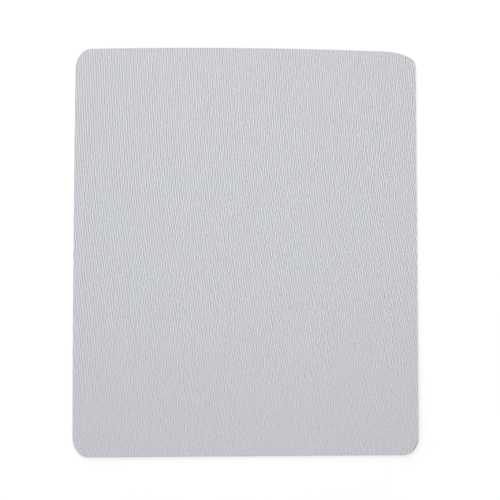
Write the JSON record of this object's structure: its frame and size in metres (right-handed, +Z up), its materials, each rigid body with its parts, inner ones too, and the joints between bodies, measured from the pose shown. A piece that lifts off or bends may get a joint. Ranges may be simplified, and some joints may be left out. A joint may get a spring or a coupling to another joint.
{
  "type": "mouse pad",
  "caption": "Thin rectangular mouse pad with rounded corners: fine-ribbed grey cloth bonded to dark sponge rubber with a non-slip underside, a smooth surface for a mouse to glide on.",
  "frame": {"origin": "middle of the underside, on the desk", "axes": "+X to the user's right, +Y along the long side to the far edge, +Z up out of the cloth"},
  "size_m": [0.2032, 0.2413, 0.003],
  "materials": {
    "grip_rubber": "matte, moulded with small studs",
    "sponge_rubber": "matte open-celled cut edge",
    "hot_melt": "milky film",
    "ribbed_cloth": "fine ribs, matte"
  },
  "bodies": {
    "root": {"grip_base": "grip_rubber", "foam_core": "sponge_rubber", "bond_film": "hot_melt", "top_cloth": "ribbed_cloth"}
  },
  "joints": []
}
